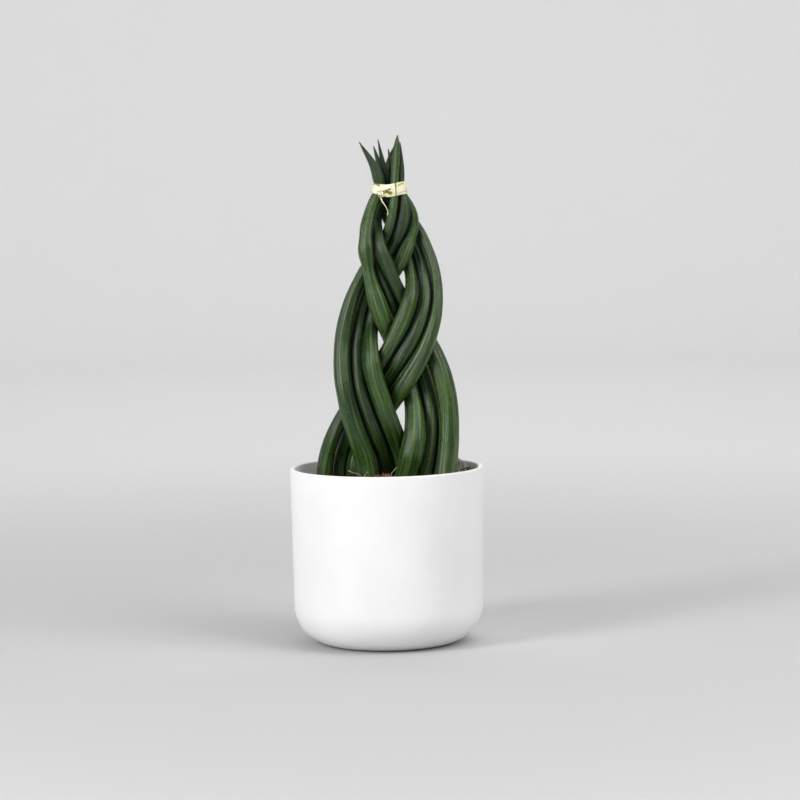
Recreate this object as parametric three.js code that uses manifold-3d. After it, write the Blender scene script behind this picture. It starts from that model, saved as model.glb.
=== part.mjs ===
// Braided cylindrical snake plant in a plain round pot.
//
// Nine round, ribbed leaves stand in the soil as three strands of three. The strands are
// plaited flat and bound below the tips with a band of gold foil.
//
// Millimetres, +Z up, +X to the right and -Y to the front.
// The origin is the centre of the pot's foot, on the surface that it stands on.

import * as THREE from 'three';
import { mergeVertices } from 'three/addons/utils/BufferGeometryUtils.js';
import Module from 'manifold-3d';

const wasm = await Module();
wasm.setup();

// ---------------------------------------------------------------- driving dimensions

// Clear gap between a piece and whatever it stands in or rests against.
const SEAT_GAP = 0.3;

// Pot
const POT_HEIGHT = 128.2;
const POT_RIM_RADIUS = 70;
const POT_LOWER_RADIUS = 68.7;
const POT_CORNER_RADIUS = 27.8;
const POT_WALL = 3.1;
const POT_FLOOR = 5;
const POT_LIP_RADIUS = 1.3;
const POT_FOOT_WIDTH = 6;
const POT_FOOT_RECESS = 1.5;
const POT_SIDES = 48;
const OUTER_CORNER_STEPS = 6;
const INNER_CORNER_STEPS = 4;
const LIP_STEPS = 2;

// Soil
const SOIL_EDGE_HEIGHT = 115.5;
const SOIL_CROWN = { x: 0, y: 0, rise: 5, spread: 36 };
const SOIL_BANK = { x: 49, y: 24, rise: 14.2, spread: 9.5 };
const SOIL_SIDE_GAP = 0.6;
const HOLES_UP_TO = 140;
const SOIL_RINGS = 10;
const SOIL_SIDES = 38;

// Leaves: ribs round each one, and how deep the grooves between them are
const RIBS = 8;
const GROOVE_DEPTH = 0.09;

// Heights between which a leaf comes from its place in the soil into the flat of the plait,
// and the height from which it moves to its place in the bundle
const FEET_UP_TO = 130;
const PLAIT_FROM = 160;
const PLAIT_UP_TO = 296;
const TIED_FROM = 330;

// Heights at which each leaf's sideways place is given, from its foot in the soil past the tie
const ROUTE_HEIGHTS = [
  90, 105, 120, 135, 150, 165, 180, 195, 210, 225, 240, 255, 270, 285, 300, 311, 321, 330, 345,
];

// Heights at which each leaf's radius is given. Above the last one the leaf tapers to its tip.
// It does so evenly where the tip's fullness is 1, and late where it is large.
const GIRTH_HEIGHTS = [90, 125, 160, 195, 230, 265, 300, 325, 338];
const TIP_RADIUS = 0.35;

// Strand a lies over b, b over c and c over a wherever they cross.
// tieDepth is the leaf's place from front to back in the tied bundle. It also says which
// leaf of one strand lies in front of the next.
const LEAVES = [
  {
    name: 'leaf_a1', strand: 'a', layer: 0, footDepth: -3, tieDepth: -4,
    across: [
      9.2, 11.3, 13.4, 17.1, 20.2, 20.8, 18.9, 14.3, 8.8, 3.2,
      -2.4, -6.9, -10.3, -12, -11.8, -9.2, -5.6, -1.6, -5.3,
    ],
    girth: [7.7, 7.6, 6.8, 6.2, 6.3, 5.3, 4.7, 3.8, 4.3],
    tip: { x: -15.8, y: -11, z: 363.2, fullness: 1.05 },
  },
  {
    name: 'leaf_a2', strand: 'a', layer: 2, footDepth: 2, tieDepth: 9.5,
    across: [
      24, 25.3, 27.5, 31, 33, 33, 31, 27.2, 21.6, 15.1,
      8.8, 2.9, -3.2, -7.3, -8.7, -7.5, -3.3, 0.4, -1.6,
    ],
    girth: [6.3, 6.3, 6.1, 6.4, 5.4, 3.7, 2.7, 3, 2.9],
    tip: { x: -5.8, y: 14, z: 360.2, fullness: 1.25 },
  },
  {
    name: 'leaf_a3', strand: 'a', layer: 1, footDepth: 0, tieDepth: -0.5,
    across: [
      39.8, 40.7, 42.3, 44.2, 45.5, 45.6, 44, 40.7, 35.2, 27.6,
      19.2, 11.4, 4.9, -0.7, -4.3, -4.1, -0.8, 4, 1.3,
    ],
    girth: [8.2, 8.2, 7.7, 7.3, 5.9, 4.8, 4.1, 3.1, 3.1],
    tip: { x: -2.4, y: -2, z: 364.8, fullness: 0.9 },
  },
  {
    name: 'leaf_b1', strand: 'b', layer: 0, footDepth: 0, tieDepth: -6.2,
    across: [
      -13.6, -13.4, -13.9, -16, -20.4, -25.2, -28.4, -30.6, -31, -29.6,
      -26.4, -21.2, -13.3, -2.9, 4, 6.9, 8.4, 8.8, 9.8,
    ],
    girth: [7.6, 7.3, 6.8, 5.9, 5.4, 4.4, 3.4, 2.9, 2.9],
    tip: { x: 11.7, y: -8.5, z: 367.8, fullness: 4 },
  },
  {
    name: 'leaf_b2', strand: 'b', layer: 2, footDepth: 4, tieDepth: -2.4,
    across: [
      4.1, 3, 1.3, -1.8, -6.6, -11.8, -16.5, -19.5, -20.4, -19,
      -16.2, -11, -2.7, 5.3, 12.2, 15.5, 15.5, 13, 13.6,
    ],
    girth: [7.1, 6.8, 6.3, 5.8, 5.8, 5.5, 4.9, 3.2, 3.2],
    tip: { x: 13.4, y: -4, z: 362.8, fullness: 1.25 },
  },
  {
    name: 'leaf_b3', strand: 'b', layer: 1, footDepth: 9, tieDepth: 4.4,
    across: [
      16, 15.4, 14, 11.5, 6.9, 1.6, -3.5, -7.8, -9.9, -9.7,
      -7.2, -1, 8.2, 16.4, 21.5, 21.3, 16.9, 11.2, 13.6,
    ],
    girth: [6.2, 6.6, 6.7, 7, 5.7, 5.1, 4.2, 3, 2.6],
    tip: { x: 14, y: 6, z: 349, fullness: 1.25 },
  },
  {
    name: 'leaf_c1', strand: 'c', layer: 0, footDepth: 8, tieDepth: 3.6,
    across: [
      -45.5, -45.8, -45.6, -43.6, -38.9, -30.9, -20.3, -9.7, -0.1, 8.4,
      15.6, 19.6, 19, 13.7, 7.3, 1.9, 1.3, 4, 6.6,
    ],
    girth: [5.7, 5.5, 5.4, 5.3, 5.2, 4.6, 3.7, 3, 2.6],
    tip: { x: 4.9, y: 5, z: 357.9, fullness: 1.25 },
  },
  {
    name: 'leaf_c2', strand: 'c', layer: 2, footDepth: 10, tieDepth: 9.9,
    across: [
      -35.2, -35.3, -34.8, -32.8, -27.6, -18.3, -7.5, 3, 12.9, 21.7,
      27.6, 29.9, 28.5, 24.5, 16.6, 10.2, 6, 4.4, 2.2,
    ],
    girth: [4.8, 5, 5.5, 6.4, 6.8, 6.5, 4.7, 3, 2.6],
    tip: { x: -0.5, y: 11, z: 353.5, fullness: 1.25 },
  },
  {
    name: 'leaf_c3', strand: 'c', layer: 1, footDepth: 14, tieDepth: 7,
    across: [
      -24.9, -24.7, -24, -21, -13, -2.5, 7.7, 18.1, 27.2, 33.6,
      37.7, 39, 37.4, 33, 25.6, 16.9, 11, 7, 4.5,
    ],
    girth: [5.7, 5.6, 5.6, 6.1, 5, 3.7, 3.4, 3, 3.1],
    tip: { x: 10.3, y: 8, z: 362.1, fullness: 1.1 },
  },
];

// Stations along a leaf at which it is laid against the others
const STATION_STEP = 3.6;
const STATIONS_PER_RING = 2;

// Thickness where leaves of one strand lie side by side. Two of them that overlap, as seen from
// the front, by up to the first share of their reach are slimmed fully, and past the second not.
// Gaps up to the first width are filled fully, and past the second not.
const SLIM_FULLY = 0.12;
const SLIM_UP_TO = 0.26;
const FILL_FULLY = 1.2;
const FILL_UP_TO = 2.2;
const FILL_AT_MOST = 0.8;
const FIT_FULLY_BELOW = 270;
const FIT_BELOW = 305;
const FIT_PASSES = 5;

// Laying the leaves over each other. Above the two heights the order in the tie holds,
// between strands and within one. Below them the plait's own order does.
const LEAF_GAP = 0.5;
const BURIED_GAP = 1.2;
const BURIED_BELOW = 118;
const TIED_ABOVE = 308;
const STRAND_TIED_ABOVE = 282;
const BEND_SPREAD = 14;
const LOAD_SHARE = 0.15;
const LOAD_KEPT = 0.996;
const EASING_PASSES = 400;
const SETTLE_PASSES = 480;

// Tie: a band of foil, wider to the right, that sags at the front where its ends are twisted
// together into a knot
const TIE_HEIGHT = 329.9;
const TIE_TILT = -0.08;
const TIE_HALF_WIDTH = 3.65;
const TIE_WIDENING = 0.055;
const TIE_SAG = { x: 4, y: -11, atLowerEdge: 3.3, atUpperEdge: 2.1, spread: 6.5 };
const TIE_THICKNESS = 0.6;
const TIE_DIRECTIONS = 32;
const TIE_SPLIT = 3;
const KNOT = { x: -0.8, z: 324.6, width: 2.2, depth: 1.5, height: 1.9 };
const KNOT_LOOPS = [
  { x: -1.7, z: 323, radius: 1.4, wire: 0.55, lean: 0.5 },
  { x: -0.6, z: 325.6, radius: 1.2, wire: 0.5, lean: -0.4 },
];
const LOOP_PITCH = THREE.MathUtils.degToRad(142);
const TAIL_ROUTE = [
  [-1, 323.2], [0, 320.7], [1.6, 318.2], [3.2, 315.4], [3.9, 312.8], [3.5, 310.6],
];
const TAIL_WIDTH = 1.1;
const TAIL_END_WIDTH = 0.45;
const TAIL_THICKNESS = 0.6;

// ---------------------------------------------------------------- helpers

// A smooth curve through values given at rising knots.
function curveAt(knots, values, at) {
  const last = knots.length - 1;
  let k = 0;
  while (k < last - 1 && at > knots[k + 1]) {
    k += 1;
  }
  const slope = (i) => {
    const low = Math.max(i - 1, 0);
    const high = Math.min(i + 1, last);
    return (values[high] - values[low]) / (knots[high] - knots[low]);
  };
  const span = knots[k + 1] - knots[k];
  const t = (at - knots[k]) / span;
  const rise = t * t * (3 - 2 * t);
  return values[k] * (1 - rise) + values[k + 1] * rise
    + span * t * (1 - t) * ((1 - t) * slope(k) - t * slope(k + 1));
}

// A closed mesh over rings of points. Both ends are capped, or the last ring joins the first.
function loft(rings, { looped = false } = {}) {
  const sides = rings[0].length;
  const points = rings.flat();
  const triangles = [];
  const ringPairs = looped ? rings.length : rings.length - 1;
  for (let r = 0; r < ringPairs; r += 1) {
    const lower = r * sides;
    const upper = ((r + 1) % rings.length) * sides;
    for (let s = 0; s < sides; s += 1) {
      const next = (s + 1) % sides;
      triangles.push(lower + s, lower + next, upper + next);
      triangles.push(lower + s, upper + next, upper + s);
    }
  }
  if (!looped) {
    const top = (rings.length - 1) * sides;
    for (const [start, flip] of [[0, true], [top, false]]) {
      const centre = points.length;
      const middle = new THREE.Vector3();
      points.slice(start, start + sides).forEach((p) => middle.addScaledVector(p, 1 / sides));
      points.push(middle);
      for (let s = 0; s < sides; s += 1) {
        const a = start + s;
        const b = start + ((s + 1) % sides);
        triangles.push(...(flip ? [b, a, centre] : [a, b, centre]));
      }
    }
  }
  const geometry = new THREE.BufferGeometry();
  geometry.setFromPoints(points);
  geometry.setIndex(triangles);
  return geometry;
}

function toSolid(geometry) {
  const bare = geometry.clone();
  bare.deleteAttribute('normal');
  bare.deleteAttribute('uv');
  const merged = mergeVertices(bare, 1e-4);
  return new wasm.Manifold(new wasm.Mesh({
    numProp: 3,
    vertProperties: merged.getAttribute('position').array,
    triVerts: new Uint32Array(merged.getIndex().array),
  }));
}

function toGeometry(solid) {
  const mesh = solid.getMesh();
  const geometry = new THREE.BufferGeometry();
  geometry.setAttribute('position', new THREE.BufferAttribute(mesh.vertProperties, 3));
  geometry.setIndex(new THREE.BufferAttribute(mesh.triVerts, 1));
  return geometry;
}

function node(name, geometry, material) {
  geometry.computeVertexNormals();
  const mesh = new THREE.Mesh(geometry, material.clone());
  mesh.name = name;
  return mesh;
}

// Points along a quarter or part of a circle in a lathe profile.
function arc(centreX, centreY, radius, fromDegrees, toDegrees, steps) {
  const points = [];
  for (let i = 0; i <= steps; i += 1) {
    const angle = THREE.MathUtils.degToRad(fromDegrees + ((toDegrees - fromDegrees) * i) / steps);
    points.push(new THREE.Vector2(
      centreX + radius * Math.cos(angle),
      centreY + radius * Math.sin(angle),
    ));
  }
  return points;
}

// A lathe turns about Y, so the result is stood up on Z.
function turned(profile, sides) {
  return new THREE.LatheGeometry(profile, sides).rotateX(Math.PI / 2);
}

// ---------------------------------------------------------------- leaves

function leafStations(leaf) {
  const knots = [...ROUTE_HEIGHTS, leaf.tip.z];
  const across = [...leaf.across, leaf.tip.x];
  const foot = ROUTE_HEIGHTS[0];
  const depthKnots = [foot, FEET_UP_TO, PLAIT_FROM, PLAIT_UP_TO, TIED_FROM, leaf.tip.z];
  const depths = [leaf.footDepth, leaf.footDepth, 0, 0, leaf.tieDepth, leaf.tip.y];
  const girthEnd = GIRTH_HEIGHTS.at(-1);
  const steps = Math.round((leaf.tip.z - foot) / STATION_STEP);
  const stations = [];
  for (let k = 0; k <= steps; k += 1) {
    const z = foot + ((leaf.tip.z - foot) * k) / steps;
    const taper = (z - girthEnd) / (leaf.tip.z - girthEnd);
    const radius = z <= girthEnd
      ? curveAt(GIRTH_HEIGHTS, leaf.girth, z)
      : THREE.MathUtils.lerp(leaf.girth.at(-1), TIP_RADIUS, taper ** leaf.tip.fullness);
    const rest = curveAt(depthKnots, depths, z);
    stations.push({ x: curveAt(knots, across, z), y: rest, z, rest, radius, girth: radius });
  }
  return stations;
}

// How much the radius changes at one side, for the room there is to a neighbour of the same
// strand. Neighbours that overlap a lot as seen from the front lie behind each other instead,
// and those that stand well apart stay apart.
function fitting(room, reach) {
  if (room < 0) {
    return (room / 2) * (1 - THREE.MathUtils.smoothstep(-room / reach, SLIM_FULLY, SLIM_UP_TO));
  }
  return (room / 2) * (1 - THREE.MathUtils.smoothstep(room, FILL_FULLY, FILL_UP_TO));
}

// Leaves of one strand just touch as seen from the front, and lie apart in depth. Where two of
// them change places from front to back, they stand clear of each other.
function gapInView(p, q, z) {
  const changesPlaces = (p.layer < q.layer) !== (p.tieDepth < q.tieDepth);
  const near = Math.exp(-((z - STRAND_TIED_ABOVE) ** 2) / (2 * BEND_SPREAD * BEND_SPREAD));
  return changesPlaces ? LEAF_GAP * near : 0;
}

// Leaves of one strand that lie side by side are as thick as their neighbours let them be.
function fitSideBySide(leaves) {
  for (let pass = 0; pass < FIT_PASSES; pass += 1) {
    for (const leaf of leaves) {
      const neighbours = leaves.filter((other) => other.strand === leaf.strand && other !== leaf);
      const changes = leaf.stations.map((s) => {
        const sides = neighbours.map((other) => {
          const inView = other.stations.map((t) => Math.hypot(s.x - t.x, s.z - t.z));
          const distance = Math.min(...inView);
          const reach = s.radius + other.stations[inView.indexOf(distance)].radius;
          return fitting(distance - reach - gapInView(leaf, other, s.z), reach);
        }).filter((change) => change !== 0);
        return sides.length > 0 ? Math.min(...sides) : 0;
      });
      leaf.stations.forEach((s, k) => {
        const before = changes[Math.max(k - 1, 0)];
        const after = changes[Math.min(k + 1, changes.length - 1)];
        const held = THREE.MathUtils.smoothstep(s.z, FIT_FULLY_BELOW, FIT_BELOW);
        const change = (1 - held) * (before + 2 * changes[k] + after) / 4;
        s.radius = Math.min(s.radius + change, s.girth + FILL_AT_MOST);
      });
    }
  }
}

// Whether leaf p lies in front of leaf q at a height.
function isInFront(p, q, z) {
  const sameStrand = p.strand === q.strand;
  if (z > (sameStrand ? STRAND_TIED_ABOVE : TIED_ABOVE)) {
    return p.tieDepth < q.tieDepth;
  }
  if (sameStrand) {
    return p.layer < q.layer;
  }
  return ['ab', 'bc', 'ca'].includes(p.strand + q.strand);
}

// How far a station has to move in depth to lie clear of every other leaf.
function push(leaf, station, leaves) {
  let backward = 0;
  let forward = 0;
  for (const other of leaves) {
    if (other === leaf) {
      continue;
    }
    let nearest = null;
    let nearestSquared = Infinity;
    for (const s of other.stations) {
      const squared = (station.x - s.x) ** 2 + (station.y - s.y) ** 2 + (station.z - s.z) ** 2;
      if (squared < nearestSquared) {
        nearest = s;
        nearestSquared = squared;
      }
    }
    const gap = station.z < BURIED_BELOW ? BURIED_GAP : LEAF_GAP;
    const reach = station.radius + nearest.radius + gap;
    const inView = (station.x - nearest.x) ** 2 + (station.z - nearest.z) ** 2;
    if (inView < reach * reach) {
      const apart = Math.sqrt(reach * reach - inView);
      if (isInFront(leaf, other, station.z)) {
        forward = Math.max(forward, apart - (nearest.y - station.y));
      } else {
        backward = Math.max(backward, apart - (station.y - nearest.y));
      }
    }
  }
  return (backward - forward) / 2;
}

// The leaves are stiff: a push at one station bends the leaf in a smooth bulge around it.
function settle(leaves) {
  const bulge = (from, to) => Math.exp(-((from.z - to.z) ** 2) / (2 * BEND_SPREAD * BEND_SPREAD));
  const loads = leaves.map((leaf) => leaf.stations.map(() => 0));
  for (let pass = 0; pass < SETTLE_PASSES; pass += 1) {
    const kept = pass < EASING_PASSES ? LOAD_KEPT : 1;
    const pushes = leaves.map((leaf) => leaf.stations.map((s) => push(leaf, s, leaves)));
    leaves.forEach(({ stations }, i) => {
      loads[i] = loads[i].map((load, k) => load * kept + pushes[i][k] * LOAD_SHARE);
      stations.forEach((s) => {
        s.y = s.rest + stations.reduce((sum, t, k) => sum + loads[i][k] * bulge(s, t), 0);
      });
    });
  }
}

// Rings of a ribbed section square to the leaf's line, widened by `extra`.
function leafRings(stations, extra = 0) {
  const last = stations.length - 1;
  const picked = stations.filter((s, k) => k % STATIONS_PER_RING === 0 && k < last - 1);
  picked.push(stations[last]);
  const along = picked.map((s) => new THREE.Vector3(s.x, s.y, s.z));
  return picked.map((s, k) => {
    const before = along[Math.max(k - 1, 0)];
    const after = along[Math.min(k + 1, along.length - 1)];
    const tangent = new THREE.Vector3().subVectors(after, before).normalize();
    const side = new THREE.Vector3(1, 0, 0).addScaledVector(tangent, -tangent.x).normalize();
    const rear = new THREE.Vector3().crossVectors(tangent, side);
    const ring = [];
    for (let i = 0; i < RIBS * 2; i += 1) {
      const angle = (Math.PI * i) / RIBS;
      const radius = s.radius * (i % 2 === 0 ? 1 : 1 - GROOVE_DEPTH) + extra;
      ring.push(along[k].clone()
        .addScaledVector(side, radius * Math.cos(angle))
        .addScaledVector(rear, radius * Math.sin(angle)));
    }
    return ring;
  });
}

// ---------------------------------------------------------------- pot

function potGeometry() {
  const footRadius = POT_LOWER_RADIUS - POT_CORNER_RADIUS;
  const innerCornerRadius = POT_CORNER_RADIUS - POT_FLOOR;
  const innerCornerCentre = potInside(POT_CORNER_RADIUS) - innerCornerRadius;
  const lipHeight = POT_HEIGHT - POT_LIP_RADIUS;
  const rimInside = POT_RIM_RADIUS - POT_WALL;
  return turned([
    new THREE.Vector2(0, POT_FOOT_RECESS),
    new THREE.Vector2(footRadius - POT_FOOT_WIDTH - POT_FOOT_RECESS, POT_FOOT_RECESS),
    new THREE.Vector2(footRadius - POT_FOOT_WIDTH, 0),
    ...arc(footRadius, POT_CORNER_RADIUS, POT_CORNER_RADIUS, -90, 0, OUTER_CORNER_STEPS),
    ...arc(POT_RIM_RADIUS - POT_LIP_RADIUS, lipHeight, POT_LIP_RADIUS, 0, 90, LIP_STEPS),
    ...arc(rimInside + POT_LIP_RADIUS, lipHeight, POT_LIP_RADIUS, 90, 180, LIP_STEPS),
    ...arc(innerCornerCentre, POT_CORNER_RADIUS, innerCornerRadius, 0, -90, INNER_CORNER_STEPS),
    new THREE.Vector2(0, POT_FLOOR),
  ], POT_SIDES);
}

// The radius of the pot's inside at a height on its straight wall.
function potInside(z) {
  const lipHeight = POT_HEIGHT - POT_LIP_RADIUS;
  const rise = (z - POT_CORNER_RADIUS) / (lipHeight - POT_CORNER_RADIUS);
  return THREE.MathUtils.lerp(POT_LOWER_RADIUS, POT_RIM_RADIUS, rise) - POT_WALL;
}

// ---------------------------------------------------------------- soil

function mound({ x, y, rise, spread }, atX, atY) {
  return rise * Math.exp(-((atX - x) ** 2 + (atY - y) ** 2) / (2 * spread * spread));
}

function soilHeight(x, y) {
  return SOIL_EDGE_HEIGHT + mound(SOIL_CROWN, x, y) + mound(SOIL_BANK, x, y);
}

// The soil fills the pot, and its top is raised by the formula above.
function soilBody() {
  const innerCornerRadius = POT_CORNER_RADIUS - POT_FLOOR;
  const cornerCentre = potInside(POT_CORNER_RADIUS) - innerCornerRadius;
  const soilCornerRadius = innerCornerRadius - SOIL_SIDE_GAP;
  const edgeRadius = potInside(SOIL_EDGE_HEIGHT) - SOIL_SIDE_GAP;
  const top = [];
  for (let i = 0; i <= SOIL_RINGS; i += 1) {
    top.push(new THREE.Vector2(edgeRadius * (1 - i / SOIL_RINGS), SOIL_EDGE_HEIGHT));
  }
  const geometry = turned([
    new THREE.Vector2(0, POT_FLOOR + SEAT_GAP),
    ...arc(cornerCentre, POT_CORNER_RADIUS, soilCornerRadius, -90, 0, INNER_CORNER_STEPS),
    ...top,
  ], SOIL_SIDES);
  const position = geometry.getAttribute('position');
  for (let i = 0; i < position.count; i += 1) {
    if (position.getZ(i) > SOIL_EDGE_HEIGHT - 1) {
      position.setZ(i, soilHeight(position.getX(i), position.getY(i)));
    }
  }
  return toSolid(geometry);
}

// Each leaf stands in a plain hole of its own shape.
function soilGeometry(leaves) {
  let soil = soilBody();
  for (const { stations } of leaves) {
    const buried = stations.filter((s) => s.z < HOLES_UP_TO);
    const hole = leafRings(buried, SEAT_GAP);
    hole[0].forEach((p) => {
      p.z -= SEAT_GAP;
    });
    soil = soil.subtract(toSolid(loft(hole)));
  }
  return toGeometry(soil);
}

// ---------------------------------------------------------------- tie

// The height of the tie's edge over a place: `side` is -1 for the lower edge, 1 for the upper.
function tieEdge(x, y, side) {
  const fromSag = Math.hypot(x - TIE_SAG.x, y - TIE_SAG.y) / TIE_SAG.spread;
  const sag = (side < 0 ? TIE_SAG.atLowerEdge : TIE_SAG.atUpperEdge) * Math.exp(-(fromSag ** 2) / 2);
  return TIE_HEIGHT + TIE_TILT * y + side * (TIE_HALF_WIDTH + TIE_WIDENING * x) - sag;
}

// Where a leaf passes an edge of the tie: its centre there, its radius and how it leans.
function passing({ stations }, side) {
  const above = (s) => s.z - tieEdge(s.x, s.y, side);
  const k = stations.findIndex((s) => above(s) > 0);
  const low = stations[k - 1];
  const high = stations[k];
  const share = above(low) / (above(low) - above(high));
  return {
    x: THREE.MathUtils.lerp(low.x, high.x, share),
    y: THREE.MathUtils.lerp(low.y, high.y, share),
    radius: Math.max(low.radius, high.radius),
    leanX: (high.x - low.x) / (high.z - low.z),
    leanY: (high.y - low.y) / (high.z - low.z),
  };
}

// The outline of the tied bundle at an edge of the tie, pushed out by `clear`: the outermost
// leaf in each direction, with straight stretches between. A leaning leaf is cut longer along
// its lean.
function bundleOutline(leaves, side, clear) {
  const tied = leaves.map((leaf) => passing(leaf, side));
  const corners = [];
  for (let i = 0; i < TIE_DIRECTIONS; i += 1) {
    const angle = (2 * Math.PI * i) / TIE_DIRECTIONS;
    const nx = Math.cos(angle);
    const ny = Math.sin(angle);
    const spread = (p) => p.radius * Math.hypot(1, p.leanX * nx + p.leanY * ny);
    const reach = (p) => p.x * nx + p.y * ny + spread(p);
    const outermost = tied.reduce((best, p) => (reach(p) > reach(best) ? p : best));
    corners.push(new THREE.Vector2(
      outermost.x + (spread(outermost) + clear) * nx,
      outermost.y + (spread(outermost) + clear) * ny,
    ));
  }
  return corners.flatMap((corner, i) => {
    const next = corners[(i + 1) % corners.length];
    return Array.from({ length: TIE_SPLIT }, (_, k) => corner.clone().lerp(next, k / TIE_SPLIT));
  });
}

function tieBand(leaves) {
  const ring = (side, clear) => bundleOutline(leaves, side, clear)
    .map((p) => new THREE.Vector3(p.x, p.y, tieEdge(p.x, p.y, side)));
  const outside = SEAT_GAP + TIE_THICKNESS;
  return loft([
    ring(-1, SEAT_GAP), ring(-1, outside), ring(1, outside), ring(1, SEAT_GAP),
  ], { looped: true });
}

function tieTail(depth) {
  const last = TAIL_ROUTE.length - 1;
  return loft(TAIL_ROUTE.map(([x, z], k) => {
    const width = THREE.MathUtils.lerp(TAIL_WIDTH, TAIL_END_WIDTH, k / last);
    const corners = [[-1, -1], [1, -1], [1, 1], [-1, 1]];
    return corners.map(([across, along]) => new THREE.Vector3(
      x + (across * width) / 2,
      depth + (along * TAIL_THICKNESS) / 2,
      z,
    ));
  }).reverse());
}

// Where the front of an outline crosses the plane at x.
function frontAt(outline, x) {
  const crossings = outline.map((p, i) => {
    const q = outline[(i + 1) % outline.length];
    const t = (x - p.x) / (q.x - p.x);
    return t >= 0 && t <= 1 ? THREE.MathUtils.lerp(p.y, q.y, t) : Infinity;
  });
  return Math.min(...crossings);
}

function tieGeometry(leaves) {
  const front = frontAt(bundleOutline(leaves, -1, SEAT_GAP + TIE_THICKNESS), KNOT.x);
  const knot = new THREE.SphereGeometry(1, 10, 7)
    .scale(KNOT.width, KNOT.depth, KNOT.height)
    .translate(KNOT.x, front - KNOT.depth / 2, KNOT.z);
  let tie = toSolid(tieBand(leaves)).add(toSolid(knot)).add(toSolid(tieTail(front - KNOT.depth)));
  for (const { x, z, radius, wire, lean } of KNOT_LOOPS) {
    const loop = new THREE.TorusGeometry(radius, wire, 6, 12)
      .rotateX(LOOP_PITCH)
      .rotateZ(lean)
      .translate(x, front - KNOT.depth, z);
    tie = tie.add(toSolid(loop));
  }
  return toGeometry(tie);
}

// ---------------------------------------------------------------- assembly

const leafMaterial = new THREE.MeshStandardMaterial({ color: 0x2f5230, roughness: 0.42, metalness: 0 });
const potMaterial = new THREE.MeshStandardMaterial({ color: 0xf2f1ee, roughness: 0.55, metalness: 0 });
const soilMaterial = new THREE.MeshStandardMaterial({ color: 0x4a3a2c, roughness: 0.95, metalness: 0 });
const tieMaterial = new THREE.MeshStandardMaterial({ color: 0xd9c27a, roughness: 0.3, metalness: 0.9 });

const leaves = LEAVES.map((leaf) => ({ ...leaf, stations: leafStations(leaf) }));
fitSideBySide(leaves);
settle(leaves);

const plant = new THREE.Group();
plant.add(node('pot', potGeometry(), potMaterial));
plant.add(node('soil', soilGeometry(leaves), soilMaterial));
for (const leaf of leaves) {
  plant.add(node(leaf.name, loft(leafRings(leaf.stations)), leafMaterial));
}
plant.add(node('tie', tieGeometry(leaves), tieMaterial));

export default plant;
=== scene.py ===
"""Braided cylindrical snake plant in a plain white pot: looks, light and camera.

Metres, +Z up, -Y to the front. The leaf lines below are the routes of the solid model.
They are worked out in millimetres and turned into metres when a mesh is made.
"""

import math

import bpy
import numpy as np
from mathutils import Euler, Matrix, Vector, noise


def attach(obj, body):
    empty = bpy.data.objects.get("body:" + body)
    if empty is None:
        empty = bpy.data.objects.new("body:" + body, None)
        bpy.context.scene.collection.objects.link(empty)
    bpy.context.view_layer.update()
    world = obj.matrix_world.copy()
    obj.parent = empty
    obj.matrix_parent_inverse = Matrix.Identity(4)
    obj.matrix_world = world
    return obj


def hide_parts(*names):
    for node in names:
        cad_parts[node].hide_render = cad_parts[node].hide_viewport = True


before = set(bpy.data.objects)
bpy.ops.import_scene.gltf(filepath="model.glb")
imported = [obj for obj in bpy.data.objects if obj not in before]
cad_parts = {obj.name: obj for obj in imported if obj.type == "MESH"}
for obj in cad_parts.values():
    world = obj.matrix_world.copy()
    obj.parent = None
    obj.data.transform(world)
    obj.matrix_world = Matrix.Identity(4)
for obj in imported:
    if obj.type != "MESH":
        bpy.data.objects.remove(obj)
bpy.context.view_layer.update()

MM = 0.001

# -------------------------------------------------- dimensions, millimetres

POT_HEIGHT = 128.2
POT_RIM_RADIUS = 70.0
POT_LOWER_RADIUS = 68.7
POT_CORNER_RADIUS = 27.8
POT_WALL = 3.1
POT_FLOOR = 5.0
POT_LIP_RADIUS = 1.3
POT_FOOT_WIDTH = 6.0
POT_FOOT_RECESS = 1.5

SOIL_EDGE_HEIGHT = 115.5
SOIL_MOUNDS = [(0.0, 0.0, 5.0, 36.0), (49.0, 24.0, 14.2, 9.5)]  # x, y, rise, spread

RIBS = 8
ROUTE_HEIGHTS = [90, 105, 120, 135, 150, 165, 180, 195, 210, 225, 240, 255, 270, 285, 300,
                 311, 321, 330, 345]
GIRTH_HEIGHTS = [90, 125, 160, 195, 230, 265, 300, 325, 338]
TIP_RADIUS = 0.35
FEET_UP_TO = 130
PLAIT_FROM = 160
PLAIT_UP_TO = 296
TIED_FROM = 330
STATION_STEP = 3.6
SLIM_FULLY, SLIM_UP_TO = 0.12, 0.26
FILL_FULLY, FILL_UP_TO, FILL_AT_MOST = 1.2, 2.2, 0.8
FIT_FULLY_BELOW, FIT_BELOW, FIT_PASSES = 270, 305, 5
LEAF_GAP, BURIED_GAP, BURIED_BELOW = 0.5, 1.2, 118
TIED_ABOVE, STRAND_TIED_ABOVE = 308, 282
BEND_SPREAD, LOAD_SHARE, LOAD_KEPT = 14, 0.15, 0.996
EASING_PASSES, SETTLE_PASSES = 400, 480

TIE_HEIGHT = 329.9
TIE_TILT = -0.08
TIE_HALF_WIDTH = 3.65
TIE_WIDENING = 0.055
TIE_SAG_X, TIE_SAG_Y, TIE_SAG_SPREAD = 4.0, -11.0, 6.5
TIE_SAG_LOWER, TIE_SAG_UPPER = 3.3, 2.1
KNOT_X = -0.8
TAIL_ROUTE = [(-1.0, 323.2), (0.0, 320.7), (1.6, 318.2), (3.2, 315.4), (3.9, 312.8), (3.5, 310.6)]

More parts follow.
